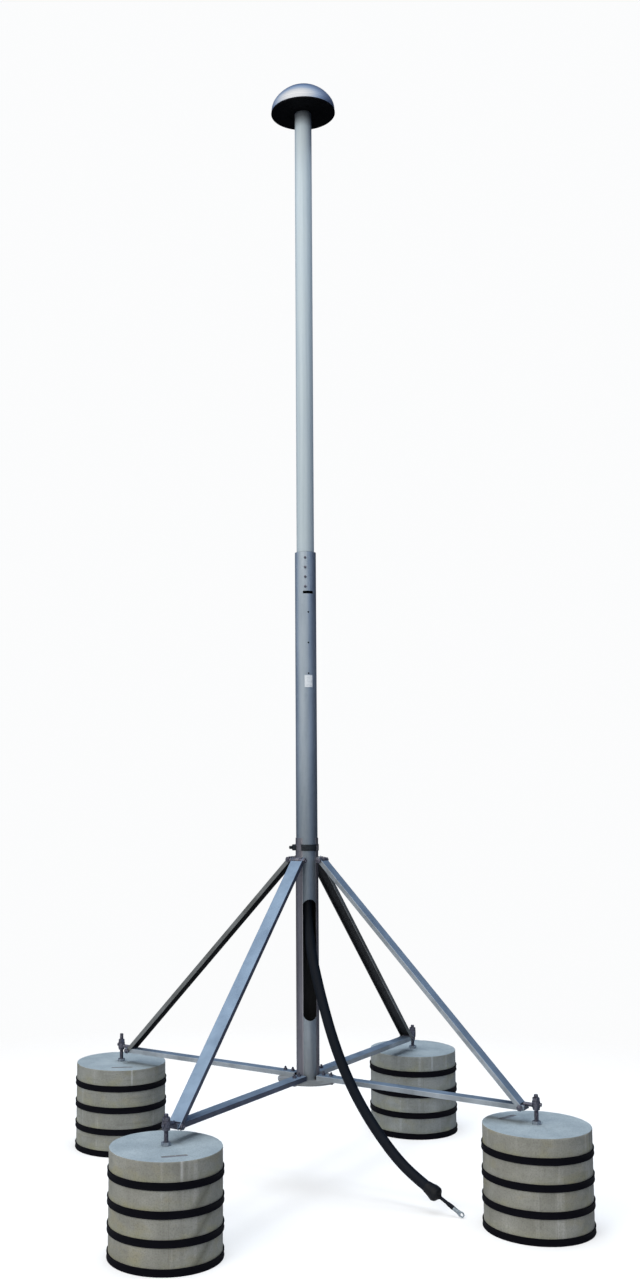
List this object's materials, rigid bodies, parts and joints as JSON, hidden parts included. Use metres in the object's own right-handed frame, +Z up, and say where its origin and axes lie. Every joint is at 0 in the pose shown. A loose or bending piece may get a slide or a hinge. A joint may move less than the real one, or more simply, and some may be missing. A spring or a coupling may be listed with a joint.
{
  "type": "ballasted antenna mast",
  "caption": "Free-standing antenna mast: spun dome head on a tube, four-legged channel stand on stacked round ballast blocks, thick black down cable.",
  "frame": {"origin": "on the ground under the mast axis, at the centre of the four legs", "axes": "+Z up along the mast; -Y the way the cable slot and the socket's opening face; the legs lie at 45 degrees between X and Y"},
  "size_m": [1.514, 1.514, 3.977],
  "materials": {
    "concrete": "cast, slightly porous",
    "edge_rubber": "matt",
    "plated_steel": "zinc plated, dull",
    "folded_steel": "galvanised, satin",
    "tube_steel": "galvanised, satin",
    "strap_steel": "dark, satin",
    "grp": "smooth glass fibre, satin",
    "spun_aluminium": "spun, satin",
    "hub_aluminium": "turned",
    "black_plastic": "moulded, matt",
    "seal_rubber": "matt",
    "contact_brass": "turned",
    "label_blank": "blank film",
    "cable_sheath": "semi matt sheath",
    "shrink_sleeve": "shrunk, slightly glossy",
    "tinned_lug": "tinned"
  },
  "bodies": {
    "stand": {"arm_front_right": "folded_steel", "strut_front_right": "folded_steel", "arm_front_left": "folded_steel", "strut_front_left": "folded_steel", "arm_back_right": "folded_steel", "strut_back_right": "folded_steel", "arm_back_left": "folded_steel", "strut_back_left": "folded_steel", "base_plate": "folded_steel", "strut_ears": "folded_steel", "strut_head_bolts": "plated_steel", "strut_head_spacers": "plated_steel", "arm_end_bolts": "plated_steel", "base_bolts": "plated_steel", "rod_eyes": "plated_steel", "eye_screws": "plated_steel", "clamp_screw": "plated_steel", "clamp_nut": "plated_steel", "socket_sleeve": "tube_steel", "clamp_strap": "strap_steel"},
    "mast": {"lower_tube": "tube_steel", "upper_tube": "grp", "reducer_bush": "black_plastic", "support_ring": "black_plastic", "tube_screws": "plated_steel", "label_plate": "label_blank", "dome_shell": "spun_aluminium", "dome_base": "black_plastic", "dome_seal": "seal_rubber", "head_hub": "hub_aluminium", "contact_post": "contact_brass", "dome_screws": "plated_steel", "inner_cable": "cable_sheath", "cable_spacers": "black_plastic", "down_cable": "cable_sheath", "cable_boot": "shrink_sleeve", "cable_tail": "cable_sheath", "cable_lug": "tinned_lug"},
    "foot_front_right": {"blocks_front_right": "concrete", "trays_front_right": "edge_rubber", "threaded_rod_front_right": "plated_steel", "rod_nuts_front_right": "plated_steel"},
    "level_nuts_front_right": {"lock_nuts_front_right": "plated_steel"},
    "foot_front_left": {"blocks_front_left": "concrete", "trays_front_left": "edge_rubber", "threaded_rod_front_left": "plated_steel", "rod_nuts_front_left": "plated_steel"},
    "level_nuts_front_left": {"lock_nuts_front_left": "plated_steel"},
    "foot_back_right": {"blocks_back_right": "concrete", "trays_back_right": "edge_rubber", "threaded_rod_back_right": "plated_steel", "rod_nuts_back_right": "plated_steel"},
    "level_nuts_back_right": {"lock_nuts_back_right": "plated_steel"},
    "foot_back_left": {"blocks_back_left": "concrete", "trays_back_left": "edge_rubber", "threaded_rod_back_left": "plated_steel", "rod_nuts_back_left": "plated_steel"},
    "level_nuts_back_left": {"lock_nuts_back_left": "plated_steel"}
  },
  "joints": [
    {"name": "mast_turn", "type": "hinge", "parent": "stand", "child": "mast", "pos_m": [0, 0, 0.7], "axis": [0, 0, 1], "range_deg": [-5, 5]},
    {"name": "level_front_right", "type": "slide", "parent": "stand", "child": "foot_front_right", "axis": [0, 0, 1], "range_m": [-0.004, 0.03]},
    {"name": "nut_turn_front_right", "type": "hinge", "parent": "stand", "child": "level_nuts_front_right", "pos_m": [0.58478, -0.58478, 0.368], "axis": [0, 0, 1], "range_deg": [-5400, 720]},
    {"name": "level_front_left", "type": "slide", "parent": "stand", "child": "foot_front_left", "axis": [0, 0, 1], "range_m": [-0.004, 0.03]},
    {"name": "nut_turn_front_left", "type": "hinge", "parent": "stand", "child": "level_nuts_front_left", "pos_m": [-0.58478, -0.58478, 0.368], "axis": [0, 0, 1], "range_deg": [-5400, 720]},
    {"name": "level_back_right", "type": "slide", "parent": "stand", "child": "foot_back_right", "axis": [0, 0, 1], "range_m": [-0.004, 0.03]},
    {"name": "nut_turn_back_right", "type": "hinge", "parent": "stand", "child": "level_nuts_back_right", "pos_m": [0.58478, 0.58478, 0.368], "axis": [0, 0, 1], "range_deg": [-5400, 720]},
    {"name": "level_back_left", "type": "slide", "parent": "stand", "child": "foot_back_left", "axis": [0, 0, 1], "range_m": [-0.004, 0.03]},
    {"name": "nut_turn_back_left", "type": "hinge", "parent": "stand", "child": "level_nuts_back_left", "pos_m": [-0.58478, 0.58478, 0.368], "axis": [0, 0, 1], "range_deg": [-5400, 720]}
  ],
  "couplings": [
    {"joint": "nut_turn_front_right", "follows": "level_front_right", "rad_per_m": -3141.6},
    {"joint": "nut_turn_front_left", "follows": "level_front_left", "rad_per_m": -3141.6},
    {"joint": "nut_turn_back_right", "follows": "level_back_right", "rad_per_m": -3141.6},
    {"joint": "nut_turn_back_left", "follows": "level_back_left", "rad_per_m": -3141.6}
  ]
}
